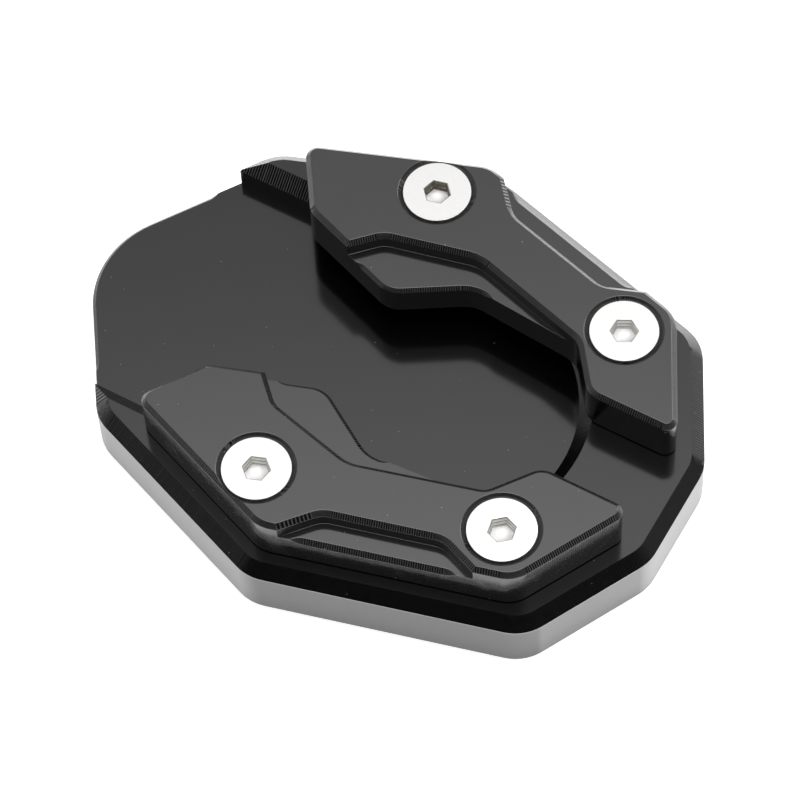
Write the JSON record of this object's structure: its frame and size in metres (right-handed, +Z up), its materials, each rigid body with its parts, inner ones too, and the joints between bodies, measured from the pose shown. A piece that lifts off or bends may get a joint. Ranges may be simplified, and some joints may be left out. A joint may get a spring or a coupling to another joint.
{
  "type": "kickstand foot enlarger",
  "caption": "Wide machined ground plate with a pocket for a motorbike side stand's foot and two screwed clamps that grip the foot from above.",
  "frame": {"origin": "on the ground, under the middle of the plate's length and width", "axes": "+Z up from the ground, +X along the plate from its open rounded tip to the closed end of the foot pocket, +Y to the left of that"},
  "size_m": [0.111, 0.0868, 0.0209],
  "materials": {
    "black_anodised_plate": "milled and black anodised, side wall bare",
    "black_anodised_clamp": "milled and black anodised",
    "stainless_screws": "turned, bright"
  },
  "bodies": {
    "root": {"base_plate": "black_anodised_plate", "clamp_left": "black_anodised_clamp", "clamp_right": "black_anodised_clamp", "clamp_screws": "stainless_screws"}
  },
  "joints": []
}
